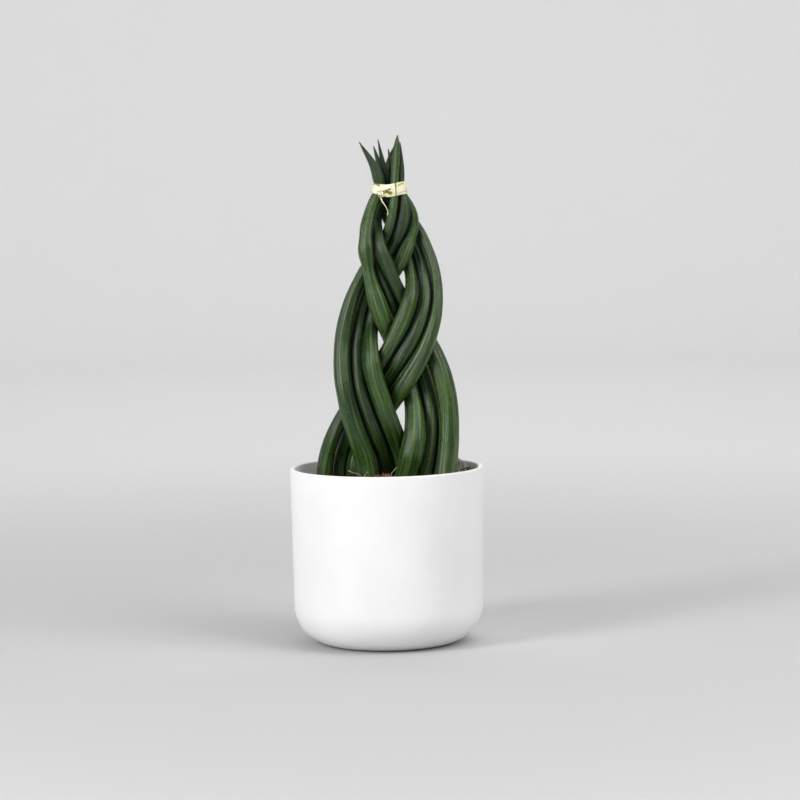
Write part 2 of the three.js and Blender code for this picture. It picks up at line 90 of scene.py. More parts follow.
# name: strand, layer, depth at the foot, depth in the tie, places across at ROUTE_HEIGHTS,
# radii at GIRTH_HEIGHTS, tip with its fullness
LEAVES = {
    "leaf_a1": ("a", 0, -3, -4,
                [9.2, 11.3, 13.4, 17.1, 20.2, 20.8, 18.9, 14.3, 8.8, 3.2,
                 -2.4, -6.9, -10.3, -12, -11.8, -9.2, -5.6, -1.6, -5.3],
                [7.7, 7.6, 6.8, 6.2, 6.3, 5.3, 4.7, 3.8, 4.3], (-15.8, -11, 363.2, 1.05)),
    "leaf_a2": ("a", 2, 2, 9.5,
                [24, 25.3, 27.5, 31, 33, 33, 31, 27.2, 21.6, 15.1,
                 8.8, 2.9, -3.2, -7.3, -8.7, -7.5, -3.3, 0.4, -1.6],
                [6.3, 6.3, 6.1, 6.4, 5.4, 3.7, 2.7, 3, 2.9], (-5.8, 14, 360.2, 1.25)),
    "leaf_a3": ("a", 1, 0, -0.5,
                [39.8, 40.7, 42.3, 44.2, 45.5, 45.6, 44, 40.7, 35.2, 27.6,
                 19.2, 11.4, 4.9, -0.7, -4.3, -4.1, -0.8, 4, 1.3],
                [8.2, 8.2, 7.7, 7.3, 5.9, 4.8, 4.1, 3.1, 3.1], (-2.4, -2, 364.8, 0.9)),
    "leaf_b1": ("b", 0, 0, -6.2,
                [-13.6, -13.4, -13.9, -16, -20.4, -25.2, -28.4, -30.6, -31, -29.6,
                 -26.4, -21.2, -13.3, -2.9, 4, 6.9, 8.4, 8.8, 9.8],
                [7.6, 7.3, 6.8, 5.9, 5.4, 4.4, 3.4, 2.9, 2.9], (11.7, -8.5, 367.8, 4)),
    "leaf_b2": ("b", 2, 4, -2.4,
                [4.1, 3, 1.3, -1.8, -6.6, -11.8, -16.5, -19.5, -20.4, -19,
                 -16.2, -11, -2.7, 5.3, 12.2, 15.5, 15.5, 13, 13.6],
                [7.1, 6.8, 6.3, 5.8, 5.8, 5.5, 4.9, 3.2, 3.2], (13.4, -4, 362.8, 1.25)),
    "leaf_b3": ("b", 1, 9, 4.4,
                [16, 15.4, 14, 11.5, 6.9, 1.6, -3.5, -7.8, -9.9, -9.7,
                 -7.2, -1, 8.2, 16.4, 21.5, 21.3, 16.9, 11.2, 13.6],
                [6.2, 6.6, 6.7, 7, 5.7, 5.1, 4.2, 3, 2.6], (14, 6, 349, 1.25)),
    "leaf_c1": ("c", 0, 8, 3.6,
                [-45.5, -45.8, -45.6, -43.6, -38.9, -30.9, -20.3, -9.7, -0.1, 8.4,
                 15.6, 19.6, 19, 13.7, 7.3, 1.9, 1.3, 4, 6.6],
                [5.7, 5.5, 5.4, 5.3, 5.2, 4.6, 3.7, 3, 2.6], (4.9, 5, 357.9, 1.25)),
    "leaf_c2": ("c", 2, 10, 9.9,
                [-35.2, -35.3, -34.8, -32.8, -27.6, -18.3, -7.5, 3, 12.9, 21.7,
                 27.6, 29.9, 28.5, 24.5, 16.6, 10.2, 6, 4.4, 2.2],
                [4.8, 5, 5.5, 6.4, 6.8, 6.5, 4.7, 3, 2.6], (-0.5, 11, 353.5, 1.25)),
    "leaf_c3": ("c", 1, 14, 7,
                [-24.9, -24.7, -24, -21, -13, -2.5, 7.7, 18.1, 27.2, 33.6,
                 37.7, 39, 37.4, 33, 25.6, 16.9, 11, 7, 4.5],
                [5.7, 5.6, 5.6, 6.1, 5, 3.7, 3.4, 3, 3.1], (10.3, 8, 362.1, 1.1)),
}

# How far each leaf's colour goes from dark green (0) to fresh yellow-green (1), as (height, tone)
# Partly the leaves' own tone and partly painted light: leaf_c2's foot is painted lighter to make up
# for the shade it lies in behind leaf_c1 and leaf_b1.
LEAF_TONES_AND_LIGHT = {
    "leaf_a1": [(90, 0.85), (170, 0.72), (215, 0.75), (260, 0.72), (320, 0.45), (345, 0.15)],
    "leaf_a2": [(90, 0.30), (200, 0.30), (250, 0.45), (330, 0.15)],
    "leaf_a3": [(90, 0.72), (180, 0.66), (240, 0.30), (330, 0.10)],
    "leaf_b1": [(90, 0.90), (140, 0.70), (200, 0.42), (260, 0.38), (300, 0.40), (345, 0.55)],
    "leaf_b2": [(90, 0.40), (150, 0.25), (200, 0.12), (260, 0.18), (330, 0.20)],
    "leaf_b3": [(90, 0.40), (180, 0.38), (260, 0.42), (300, 0.45), (330, 0.20)],
    "leaf_c1": [(90, 0.45), (150, 0.40), (210, 0.55), (250, 0.48), (330, 0.15)],
    "leaf_c2": [(90, 0.85), (160, 0.45), (200, 0.15), (260, 0.20), (330, 0.10)],
    "leaf_c3": [(90, 0.25), (180, 0.42), (220, 0.45), (270, 0.35), (330, 0.15)],
}

# -------------------------------------------------- curves


def curve_at(knots, values, at):
    """A smooth curve through values at rising knots, at an array of places."""
    knots = np.asarray(knots, float)
    values = np.asarray(values, float)
    at = np.asarray(at, float)
    last = len(knots) - 1
    k = np.clip(np.searchsorted(knots, at, side="left") - 1, 0, last - 1)
    low = np.maximum(np.arange(last + 1) - 1, 0)
    high = np.minimum(np.arange(last + 1) + 1, last)
    slopes = (values[high] - values[low]) / (knots[high] - knots[low])
    span = knots[k + 1] - knots[k]
    t = (at - knots[k]) / span
    rise = t * t * (3 - 2 * t)
    return (values[k] * (1 - rise) + values[k + 1] * rise
            + span * t * (1 - t) * ((1 - t) * slopes[k] - t * slopes[k + 1]))


def smoothstep(x, low, high):
    t = np.clip((x - low) / (high - low), 0, 1)
    return t * t * (3 - 2 * t)


def around(count):
    """Evenly spaced angles of a full turn."""
    return 2 * math.pi * np.arange(count) / count


def unit(vectors):
    """Each row of an array at length 1."""
    return vectors / np.linalg.norm(vectors, axis=1)[:, None]


def smooth_route(route, steps):
    """A smooth path through a route's points, with its direction at each place."""
    route = np.asarray(route, float)
    knots = np.arange(len(route))
    at = np.linspace(0, len(route) - 1, steps * (len(route) - 1) + 1)
    path = np.stack([curve_at(knots, route[:, a], at) for a in range(3)], axis=1)
    return path, unit(np.gradient(path, axis=0))


# -------------------------------------------------- leaf lines


class Line:
    """A leaf's centre line with its radii, one entry a station."""

    def __init__(self, name):
        strand, layer, foot_depth, tie_depth, across, girth, tip = LEAVES[name]
        self.name = name
        self.strand = strand
        self.layer = layer
        self.tie_depth = tie_depth
        foot = ROUTE_HEIGHTS[0]
        steps = int(math.floor((tip[2] - foot) / STATION_STEP + 0.5))
        self.z = foot + (tip[2] - foot) * np.arange(steps + 1) / steps
        self.x = curve_at([*ROUTE_HEIGHTS, tip[2]], [*across, tip[0]], self.z)
        self.rest = curve_at(
            [foot, FEET_UP_TO, PLAIT_FROM, PLAIT_UP_TO, TIED_FROM, tip[2]],
            [foot_depth, foot_depth, 0, 0, tie_depth, tip[1]], self.z)
        self.y = self.rest.copy()
        girth_end = GIRTH_HEIGHTS[-1]
        taper = np.clip((self.z - girth_end) / (tip[2] - girth_end), 0, 1)
        below = curve_at(GIRTH_HEIGHTS, girth, np.minimum(self.z, girth_end))
        above = girth[-1] + (TIP_RADIUS - girth[-1]) * taper ** tip[3]
        self.radius = np.where(self.z <= girth_end, below, above)
        self.girth = self.radius.copy()


def fitting(room, reach):
    """How much thinner or thicker a leaf gets where it has that room beside a neighbour."""
    slimmed = room / 2 * (1 - smoothstep(-room / reach, SLIM_FULLY, SLIM_UP_TO))
    filled = room / 2 * (1 - smoothstep(room, FILL_FULLY, FILL_UP_TO))
    return np.where(room < 0, slimmed, filled)


def gap_in_view(line, other):
    """How far apart two leaves of a strand stay where they change places in depth."""
    changes_places = (line.layer < other.layer) != (line.tie_depth < other.tie_depth)
    near = np.exp(-((line.z - STRAND_TIED_ABOVE) ** 2) / (2 * BEND_SPREAD ** 2))
    return LEAF_GAP * near * changes_places


def fit_side_by_side(lines):
    """Leaves of one strand that lie side by side are as thick as their neighbours let them be."""
    for _ in range(FIT_PASSES):
        for line in lines:
            changes = []
            for other in lines:
                if other.strand != line.strand or other is line:
                    continue
                distance = np.hypot(line.x[:, None] - other.x, line.z[:, None] - other.z)
                nearest = distance.argmin(axis=1)
                distance = distance[np.arange(len(nearest)), nearest]
                reach = line.radius + other.radius[nearest]
                change = fitting(distance - reach - gap_in_view(line, other), reach)
                changes.append(np.where(change == 0, np.inf, change))
            change = np.min(changes, axis=0)
            change[np.isinf(change)] = 0
            before = np.concatenate([change[:1], change[:-1]])
            after = np.concatenate([change[1:], change[-1:]])
            held = smoothstep(line.z, FIT_FULLY_BELOW, FIT_BELOW)
            change = (1 - held) * (before + 2 * change + after) / 4
            line.radius = np.minimum(line.radius + change, line.girth + FILL_AT_MOST)


def in_front(line, other):
    """Where along its stations a leaf lies in front of another."""
    same = line.strand == other.strand
    tied = line.z > (STRAND_TIED_ABOVE if same else TIED_ABOVE)
    if same:
        plaited = line.layer < other.layer
    else:
        plaited = line.strand + other.strand in ("ab", "bc", "ca")
    return np.where(tied, line.tie_depth < other.tie_depth, plaited)


def settle(lines):
    """Lays the leaves over each other in depth, as stiff rods that touch but don't cross."""
    bulges = [np.exp(-((line.z[:, None] - line.z) ** 2) / (2 * BEND_SPREAD ** 2))
              for line in lines]
    loads = [np.zeros(len(line.z)) for line in lines]
    fronts = {(i, j): in_front(p, q) for i, p in enumerate(lines)
              for j, q in enumerate(lines) if i != j}
    flat = {(i, j): (p.x[:, None] - q.x) ** 2 + (p.z[:, None] - q.z) ** 2
            for i, p in enumerate(lines) for j, q in enumerate(lines) if i != j}
    for step in range(SETTLE_PASSES):
        kept = LOAD_KEPT if step < EASING_PASSES else 1
        pushes = []
        for i, line in enumerate(lines):
            backward = np.zeros(len(line.z))
            forward = np.zeros(len(line.z))
            gap = np.where(line.z < BURIED_BELOW, BURIED_GAP, LEAF_GAP)
            rows = np.arange(len(line.z))
            for j, other in enumerate(lines):
                if i == j:
                    continue
                squared = flat[i, j] + (line.y[:, None] - other.y) ** 2
                nearest = squared.argmin(axis=1)
                reach = line.radius + other.radius[nearest] + gap
                apart = np.sqrt(np.maximum(reach ** 2 - flat[i, j][rows, nearest], 0))
                touching = apart > 0
                behind = other.y[nearest] - line.y
                need_forward = np.where(touching & fronts[i, j], apart - behind, 0)
                need_back = np.where(touching & ~fronts[i, j], apart + behind, 0)
                forward = np.maximum(forward, need_forward)
                backward = np.maximum(backward, need_back)
            pushes.append((backward - forward) / 2)
        for i, line in enumerate(lines):
            loads[i] = loads[i] * kept + pushes[i] * LOAD_SHARE
            line.y = line.rest + bulges[i] @ loads[i]


# -------------------------------------------------- mesh helpers


def make_mesh(name, points, faces, smooth=True):
    mesh = bpy.data.meshes.new(name)
    mesh.from_pydata([tuple(p) for p in points], [], faces)
    mesh.validate()
    mesh.polygons.foreach_set("use_smooth", [smooth] * len(mesh.polygons))
    mesh.update()
    obj = bpy.data.objects.new(name, mesh)
    bpy.context.scene.collection.objects.link(obj)
    return obj


def tube_faces(rings, sides, closed_ends=True, start=0):
    faces = []
    for r in range(rings - 1):
        for s in range(sides):
            n = (s + 1) % sides
            a = start + r * sides
            b = a + sides
            faces.append((a + s, a + n, b + n, b + s))
    if closed_ends:
        faces.append(tuple(start + s for s in reversed(range(sides))))
        top = start + (rings - 1) * sides
        faces.append(tuple(top + s for s in range(sides)))
    return faces


def frames_along(path):
    """Unit side and rear directions square to a rising line of points."""
    tangent = unit(np.gradient(path, axis=0))
    side = unit(np.array([1.0, 0, 0]) - tangent * tangent[:, :1])
    return side, np.cross(tangent, side)


def store(obj, name, values, kind="FLOAT"):
    """Keeps a value for each point of a mesh, for its material to read."""
    layer = obj.data.attributes.new(name, kind, "POINT")
    layer.data.foreach_set("vector" if kind == "FLOAT_VECTOR" else "value",
                           np.ascontiguousarray(values, dtype=np.float32).ravel())


def put(name, obj, body="root", node=None, material=None):
    """Dresses a piece, puts it on its body and hides the solid it stands in for."""
    obj.name = name
    if material is not None:
        obj.data.materials.clear()
        obj.data.materials.append(material)
    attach(obj, body)
    if node is not None:
        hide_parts(node)
    return obj


# -------------------------------------------------- material helpers


class Nodes:
    """A small builder for node materials."""

    def __init__(self, name):
        self.material = bpy.data.materials.new(name)
        self.material.use_nodes = True
        self.tree = self.material.node_tree
        self.shader = self.tree.nodes["Principled BSDF"]

    def add(self, kind, inputs=None, **settings):
        node = self.tree.nodes.new(kind)
        for key, value in settings.items():
            setattr(node, key, value)
        for key, value in (inputs or {}).items():
            self.set(node.inputs[key], value)
        return node

    def set(self, socket, value):
        if isinstance(value, bpy.types.NodeSocket):
            self.tree.links.new(value, socket)
        else:
            socket.default_value = value

    def surface(self, **values):
        for key, value in values.items():
            self.set(self.shader.inputs[key.replace("_", " ")], value)

    def attribute(self, name, output="Fac"):
        return self.add("ShaderNodeAttribute", attribute_name=name).outputs[output]

    def place(self):
        return self.add("ShaderNodeTexCoord").outputs["Object"]

    def scaled(self, vector, scale):
        node = self.add("ShaderNodeVectorMath", {0: vector, 1: scale}, operation="MULTIPLY")
        return node.outputs[0]

    def length(self, vector):
        node = self.add("ShaderNodeVectorMath", {0: vector}, operation="LENGTH")
        return node.outputs["Value"]

    def noise(self, vector, scale, detail, roughness, distortion=0.0):
        node = self.add("ShaderNodeTexNoise", {
            "Vector": vector, "Scale": scale, "Detail": detail, "Roughness": roughness,
            "Distortion": distortion})
        return node.outputs["Fac"]

    def ramp(self, value, stops):
        node = self.add("ShaderNodeValToRGB", {"Fac": value})
        band = node.color_ramp
        while len(band.elements) < len(stops):
            band.elements.new(0.5)
        for element, (place, colour) in zip(band.elements, stops):
            element.position = place
            element.color = (*colour, 1)
        return node.outputs["Color"]

    def range(self, value, low, high, to_low=0.0, to_high=1.0):
        node = self.add("ShaderNodeMapRange", {
            "Value": value, "From Min": low, "From Max": high,
            "To Min": to_low, "To Max": to_high}, interpolation_type="SMOOTHSTEP")
        return node.outputs["Result"]

    def mix(self, share, first, second):
        node = self.add("ShaderNodeMix", data_type="RGBA")
        self.set(node.inputs["Factor"], share)
        self.set(node.inputs[6], first)
        self.set(node.inputs[7], second)
        return node.outputs[2]

    def math(self, operation, first, second):
        return self.add("ShaderNodeMath", {0: first, 1: second}, operation=operation).outputs[0]

    def bump(self, height, strength, distance):
        return self.add("ShaderNodeBump", {
            "Height": height, "Strength": strength, "Distance": distance}).outputs["Normal"]


def rgb(r, g, b):
    return (r, g, b, 1)


def grey(tone):
    return rgb(tone, tone, tone)


# -------------------------------------------------- materials

HAIR_GREEN = rgb(0.055, 0.090, 0.040)
BAND_GREEN = rgb(0.060, 0.095, 0.055)
PAINTED_GROOVE_SHADE = rgb(0.002, 0.010, 0.001)
SHADE_GREEN = rgb(0.0002, 0.0045, 0.0002)
WIDE_SHARE, FINE_SHARE = 0.45, 0.55
# metres off the axis and above the foot between which the pot's skin becomes its inner face
INNER_FACE_WITHIN = (0.0672, 0.0680)
INNER_FACE_ABOVE = (0.05, 0.06)
# painted light: the inner face is painted whiter than the outside, for the light the plant keeps
# off it
INNER_PAINTED_LIGHT = rgb(0.94, 0.93, 0.92)
SOIL_CLOUD = rgb(0.045, 0.034, 0.026)
FOIL_SHADE = rgb(0.16, 0.13, 0.02)


def leaf_material():
    m = Nodes("leaf_skin")
    space = m.attribute("leaf_space", "Vector")
    # long streaks, faint cross bands and soft patches, all in the leaf's own space
    wide = m.noise(m.scaled(space, (1, 1, 0.045)), 3.4, 2, 0.5)
    fine = m.noise(m.scaled(space, (1, 1, 0.030)), 9.0, 2, 0.5)
    hair = m.noise(m.scaled(space, (1, 1, 0.020)), 26.0, 2, 0.5)
    bands = m.noise(m.scaled(space, (0.35, 0.35, 1)), 1.1, 4, 0.55, 0.4)
    patches = m.noise(m.scaled(space, (0.6, 0.6, 0.16)), 1.4, 3, 0.5)
    streaks = m.math("ADD", m.math("MULTIPLY", wide, WIDE_SHARE),
                     m.math("MULTIPLY", fine, FINE_SHARE))
    deep = m.ramp(streaks, [
        (0.41, (0.0020, 0.0120, 0.0005)),
        (0.50, (0.0085, 0.0300, 0.0020)),
        (0.60, (0.0380, 0.0800, 0.0180)),
    ])
    fresh = m.ramp(streaks, [
        (0.41, (0.0110, 0.0360, 0.0015)),
        (0.50, (0.0330, 0.0830, 0.0070)),
        (0.60, (0.1000, 0.1750, 0.0400)),
    ])
    # tone with painted light at leaf_c2's foot, plus random patches
    tone = m.math("ADD", m.attribute("leaf_tone_and_light"), m.range(patches, 0.35, 0.65, -0.25, 0.25))
    green = m.mix(m.range(tone, 0.0, 1.0), deep, fresh)
    green = m.mix(m.range(hair, 0.50, 0.62, 0, 0.30), green, HAIR_GREEN)
    green = m.mix(m.range(bands, 0.50, 0.70, 0, 0.18), green, BAND_GREEN)
    rib = m.attribute("leaf_rib")
    # painted shade: the grooves between the ribs are painted near black
    green = m.mix(m.range(rib, 0.0, 0.60, 0.85, 0.0), green, PAINTED_GROOVE_SHADE)
    # painted shade: near black green where leaves touch and on the darker upper ends
    green = m.mix(m.attribute("leaf_painted_shade"), green, SHADE_GREEN)
    brown = m.ramp(fine, [(0.3, (0.024, 0.020, 0.014)), (0.7, (0.130, 0.105, 0.075))])
    colour = m.mix(m.attribute("leaf_dry"), green, brown)
    height = m.math("ADD", m.math("MULTIPLY", hair, 0.35), streaks)
    rough = m.math("ADD", m.range(bands, 0.3, 0.7, 0.26, 0.34),
                   m.math("MULTIPLY", m.attribute("leaf_painted_shade"), 0.4))
    m.surface(Base_Color=colour, Roughness=rough, Normal=m.bump(height, 0.5, 0.0008))
    m.surface(IOR=1.45, Specular_IOR_Level=0.50, Coat_Weight=0.03, Coat_Roughness=0.2)
    return m.material


def pot_material():
    m = Nodes("white_ceramic")
    place = m.place()
    cloud = m.noise(place, 22.0, 3, 0.5)
    grain = m.noise(place, 900.0, 3, 0.6)
    colour = m.mix(m.range(cloud, 0.3, 0.7), rgb(0.790, 0.790, 0.788), rgb(0.822, 0.822, 0.820))
    colour = m.mix(m.range(grain, 0.62, 0.75, 0, 0.05), colour, rgb(0.60, 0.58, 0.55))
    off_axis = m.length(m.scaled(place, (1, 1, 0)))
    height = m.add("ShaderNodeSeparateXYZ", {"Vector": place}).outputs["Z"]
    inner = m.math("MULTIPLY", m.range(off_axis, *INNER_FACE_WITHIN, 1, 0),
                   m.range(height, *INNER_FACE_ABOVE))
    # painted light on the inner face
    colour = m.mix(inner, colour, INNER_PAINTED_LIGHT)
    m.surface(Base_Color=colour, Roughness=m.range(cloud, 0.3, 0.7, 0.46, 0.54),
              Normal=m.bump(grain, 0.10, 0.0002))
    m.surface(IOR=1.45)
    return m.material


def soil_material(name, dark, light):
    m = Nodes(name)
    place = m.place()
    lumps = m.noise(place, 260.0, 5, 0.65)
    cloud = m.noise(place, 45.0, 3, 0.5)
    colour = m.ramp(lumps, [(0.30, dark), (0.70, light)])
    colour = m.mix(m.range(cloud, 0.35, 0.65, 0, 0.4), colour, SOIL_CLOUD)
    m.surface(Base_Color=colour, Roughness=0.92, Normal=m.bump(lumps, 0.9, 0.0015))
    return m.material


def foil_material():
    m = Nodes("gold_foil")
    place = m.place()
    crumple = m.noise(place, 420.0, 4, 0.6, 0.5)
    cloud = m.noise(place, 90.0, 2, 0.5)
    cream = m.mix(m.range(cloud, 0.35, 0.65), rgb(0.78, 0.75, 0.42), rgb(0.94, 0.92, 0.68))
    colour = m.mix(m.attribute("foil_shade"), cream, FOIL_SHADE)
    m.surface(Base_Color=colour, Roughness=m.range(crumple, 0.3, 0.7, 0.34, 0.50),
              Normal=m.bump(crumple, 0.35, 0.0005))
    m.surface(Metallic=0.15)
    return m.material


def fibre_material(name, dark, light):
    m = Nodes(name)
    place = m.place()
    patches = m.noise(place, 500.0, 3, 0.6)
    m.surface(Base_Color=m.ramp(patches, [(0.3, dark), (0.7, light)]), Roughness=0.7)
    return m.material


# -------------------------------------------------- pot

POT_SIDES = 256
FOOT_STEPS, CORNER_STEPS, LIP_STEPS, INNER_STEPS = 4, 28, 8, 12


def arc(cx, cy, radius, start, end, steps):
    angles = np.radians(np.linspace(start, end, steps + 1))
    return [(cx + radius * math.cos(t), cy + radius * math.sin(t)) for t in angles]


def pot_inside(z):
    """The radius of the pot's inner face at a height."""
    lip = POT_HEIGHT - POT_LIP_RADIUS
    share = (z - POT_CORNER_RADIUS) / (lip - POT_CORNER_RADIUS)
    return POT_LOWER_RADIUS + (POT_RIM_RADIUS - POT_LOWER_RADIUS) * share - POT_WALL


def build_pot():
    """The pot's skin: its profile, from the middle underneath to the middle inside, turned."""
    foot = POT_LOWER_RADIUS - POT_CORNER_RADIUS
    lip = POT_HEIGHT - POT_LIP_RADIUS
    inner = POT_CORNER_RADIUS - POT_FLOOR
    inner_centre = pot_inside(POT_CORNER_RADIUS) - inner
    rim_inside = POT_RIM_RADIUS - POT_WALL
    profile = [
        (0.0, POT_FOOT_RECESS),
        (foot - POT_FOOT_WIDTH - POT_FOOT_RECESS, POT_FOOT_RECESS),
        *arc(foot - POT_FOOT_WIDTH, POT_FOOT_RECESS * 0.5, POT_FOOT_RECESS * 0.5, 180, 270,
             FOOT_STEPS),
        *arc(foot, POT_CORNER_RADIUS, POT_CORNER_RADIUS, -90, 0, CORNER_STEPS),
        *[(POT_LOWER_RADIUS + (POT_RIM_RADIUS - POT_LOWER_RADIUS) * t,
           POT_CORNER_RADIUS + (lip - POT_CORNER_RADIUS) * t) for t in (0.25, 0.5, 0.75)],
        *arc(POT_RIM_RADIUS - POT_LIP_RADIUS, lip, POT_LIP_RADIUS, 0, 90, LIP_STEPS),
        *arc(rim_inside + POT_LIP_RADIUS, lip, POT_LIP_RADIUS, 90, 180, LIP_STEPS),
        *arc(inner_centre, POT_CORNER_RADIUS, inner, 0, -90, INNER_STEPS),
        (0.0, POT_FLOOR),
    ]
    angles = around(POT_SIDES)
    points = [(0, 0, POT_FOOT_RECESS * MM)]
    for r, z in profile[1:-1]:
        points += [(r * MM * math.cos(t), r * MM * math.sin(t), z * MM) for t in angles]
    points.append((0, 0, POT_FLOOR * MM))
    rings = len(profile) - 2
    faces = tube_faces(rings, POT_SIDES, closed_ends=False, start=1)
    end = len(points) - 1
    top = 1 + (rings - 1) * POT_SIDES
    for s in range(POT_SIDES):
        n = (s + 1) % POT_SIDES
        faces.append((0, 1 + n, 1 + s))
        faces.append((end, top + s, top + n))
    return make_mesh("pot_body", points, faces)


# -------------------------------------------------- leaves

RING_STEP = 1.5
LEAF_SIDES = 96

# Past the solid leaf's radius, to close the slits between the solids. It fades out on thin
# tips and from just below the tie up. Some neighbours overlap by up to 0.64 because of it.
FULLER = 0.22
FULLER_FROM_RADIUS = (0.4, 2.5)
FULLER_BELOW = (318, 326)
# where a slit of the solids is wider, how much fuller still a leaf is: height, extra radius
SNUG = {
    "leaf_c2": (187, 0.45), "leaf_c3": (187, 0.5), "leaf_b2": (281, 0.3),
    "leaf_b3": (281, 0.3), "leaf_a2": (241, 0.6), "leaf_b1": (141, 0.3),
}
SNUG_SPREAD = 7.0

GROOVE = 0.095  # of the radius
GROOVE_DEPTHS = (0.55, 1.25)  # of GROOVE, each groove its own
CREST_ROUNDNESS = 0.5
PRESSED = (0.72, 0.92)  # nearness to a neighbour over which grooves fade out
TWIST, TWIST_LENGTH, TWIST_START = 0.10, 70, 0.15
OVAL, OVAL_LENGTH = 0.008, 23
WAVE, WAVE_LENGTH = 0.006, 9

# Painted shade: the skin is painted near black green close to a neighbouring leaf.
SHADED_WITHIN = 4.5  # of a neighbouring leaf
SEARCH_STEP, SEARCH_REACH = 1.2, 14  # up the neighbours, for their nearest spot
SHADE_FROM, SHADE_FULL = 0.08, 0.80
# the share of that shade that a leaf keeps at its foot, rising to all over these heights
FOOT_SHADE_UP_TO = (125, 175)
FOOT_SHADE = {
    "leaf_a1": 0.9, "leaf_a2": 0.7, "leaf_a3": 0.8, "leaf_b1": 0.8, "leaf_b2": 0.5,
    "leaf_b3": 0.5, "leaf_c1": 0.8, "leaf_c2": 0.2, "leaf_c3": 0.5,
}
# how dark a leaf's upper end is, within these lengths of its tip
TIP_SHADE_WITHIN = (4, 30)
TIP_SHADES = {
    "leaf_a1": 0.45, "leaf_a2": 0.55, "leaf_a3": 0.55, "leaf_b1": 0.1, "leaf_b2": 0.5,
    "leaf_b3": 0.6, "leaf_c1": 0.6, "leaf_c2": 0.6, "leaf_c3": 0.6,
}
DRY_TIP, LONG_DRY_TIPS = 3.0, {"leaf_b1": 5.5}
DRY_FROM, DRY_UP_TO = 0.5, 1.2  # of the dry tip's length
RAGGED_WIDE, RAGGED_FINE = 0.6, 0.4

SKIN_LENGTH, SKIN_SHIFT = 10, 7.3  # of the skin's own space, so no two leaves match


def nearness(lines, line, z, points):
    """How close each point of a leaf's skin lies to another leaf: 1 where they touch."""
    near = np.zeros(len(points))
    for other in lines:
        if other is line:
            continue
        dense_z = np.arange(other.z[0], other.z[-1], SEARCH_STEP)
        centre = np.stack([curve_at(other.z, other.x, dense_z),
                           curve_at(other.z, other.y, dense_z), dense_z], axis=1)
        radius = curve_at(other.z, other.radius, dense_z)
        for k, ring_z in enumerate(z):
            ring = slice(k * LEAF_SIDES, (k + 1) * LEAF_SIDES)
            close = np.abs(dense_z - ring_z) < SEARCH_REACH
            if not close.any():
                continue
            gap = np.linalg.norm(points[ring, None] - centre[close], axis=2) - radius[close]
            near[ring] = np.maximum(near[ring], 1 - gap.min(axis=1) / SHADED_WITHIN)
    return np.clip(near, 0, 1)


def build_leaf(lines, line, seed):
    """A leaf's ribbed skin, with what its material reads at each point."""
    tip_height = LEAVES[line.name][6][2]
    count = int((line.z[-1] - line.z[0]) / RING_STEP)
    z = np.linspace(line.z[0], line.z[-1], count + 1)
    path = np.stack([curve_at(line.z, line.x, z), curve_at(line.z, line.y, z), z], axis=1)
    radius = curve_at(line.z, line.radius, z)
    fuller = (FULLER * smoothstep(radius, *FULLER_FROM_RADIUS)
              * (1 - smoothstep(z, *FULLER_BELOW)))
    snug_at, snug = SNUG.get(line.name, (0, 0))
    radius = radius + fuller + snug * np.exp(-((z - snug_at) / SNUG_SPREAD) ** 2 / 2)
    side, rear = frames_along(path)
    along = np.concatenate([[0], np.cumsum(np.linalg.norm(np.diff(path, axis=0), axis=1))])
    phi = around(LEAF_SIDES)
    outward = [side[k] * np.cos(phi)[:, None] + rear[k] * np.sin(phi)[:, None]
               for k in range(len(z))]
    own = np.random.default_rng(seed)
    twist = (TWIST * np.sin(along / TWIST_LENGTH + own.uniform(0, 6))
             + own.uniform(-TWIST_START, TWIST_START))
    depths = own.uniform(*GROOVE_DEPTHS, RIBS)
    round_skin = [path[k] + radius[k] * outward[k] for k in range(len(z))]
    near = nearness(lines, line, z, np.concatenate(round_skin))
    pressed = smoothstep(near, *PRESSED).reshape(len(z), LEAF_SIDES)
    points, ribs = [], []
    for k in range(len(z)):
        turn = phi + twist[k]
        crest = np.abs(np.cos(RIBS / 2 * turn)) ** CREST_ROUNDNESS
        which = np.floor((turn / (2 * math.pi) * RIBS) % RIBS).astype(int)
        sink = GROOVE * (1 - crest) * depths[which] * (1 - pressed[k])
        swell = (OVAL * np.sin(2 * phi + along[k] / OVAL_LENGTH + seed)
                 + WAVE * np.sin(along[k] / WAVE_LENGTH + seed))
        r = radius[k] * (1 - sink + swell)
        points.append(path[k] + outward[k] * r[:, None])
        ribs.append(crest)
    obj = make_mesh(line.name + "_body", np.concatenate(points) * MM,
                    tube_faces(len(z), LEAF_SIDES))
    ring_of = np.repeat(np.arange(len(z)), LEAF_SIDES)
    space = np.stack([np.tile(np.cos(phi), len(z)), np.tile(np.sin(phi), len(z)),
                      along[ring_of] / SKIN_LENGTH + seed * SKIN_SHIFT], axis=1)
    from_tip = (tip_height - z)[ring_of]
    ragged = np.tile(np.sin(3 * phi + seed) * RAGGED_WIDE
                     + np.sin(5 * phi + 2 * seed) * RAGGED_FINE, len(z))
    dry_length = LONG_DRY_TIPS.get(line.name, DRY_TIP)
    dry = 1 - smoothstep(from_tip + ragged, dry_length * DRY_FROM, dry_length * DRY_UP_TO)
    kept = FOOT_SHADE[line.name]
    foot_share = (kept + (1 - kept) * smoothstep(z, *FOOT_SHADE_UP_TO))[ring_of]
    # painted shade between leaves, and a darker upper end
    dark = smoothstep(near, SHADE_FROM, SHADE_FULL) * foot_share
    tip_dark = TIP_SHADES[line.name] * (1 - smoothstep(from_tip, *TIP_SHADE_WITHIN))
    store(obj, "leaf_space", space, "FLOAT_VECTOR")
    store(obj, "leaf_tone_and_light", np.interp(z, *zip(*LEAF_TONES_AND_LIGHT[line.name]))[ring_of])
    store(obj, "leaf_rib", np.concatenate(ribs))
    store(obj, "leaf_painted_shade", np.maximum(dark, tip_dark))
    store(obj, "leaf_dry", dry)
    return obj


# -------------------------------------------------- soil

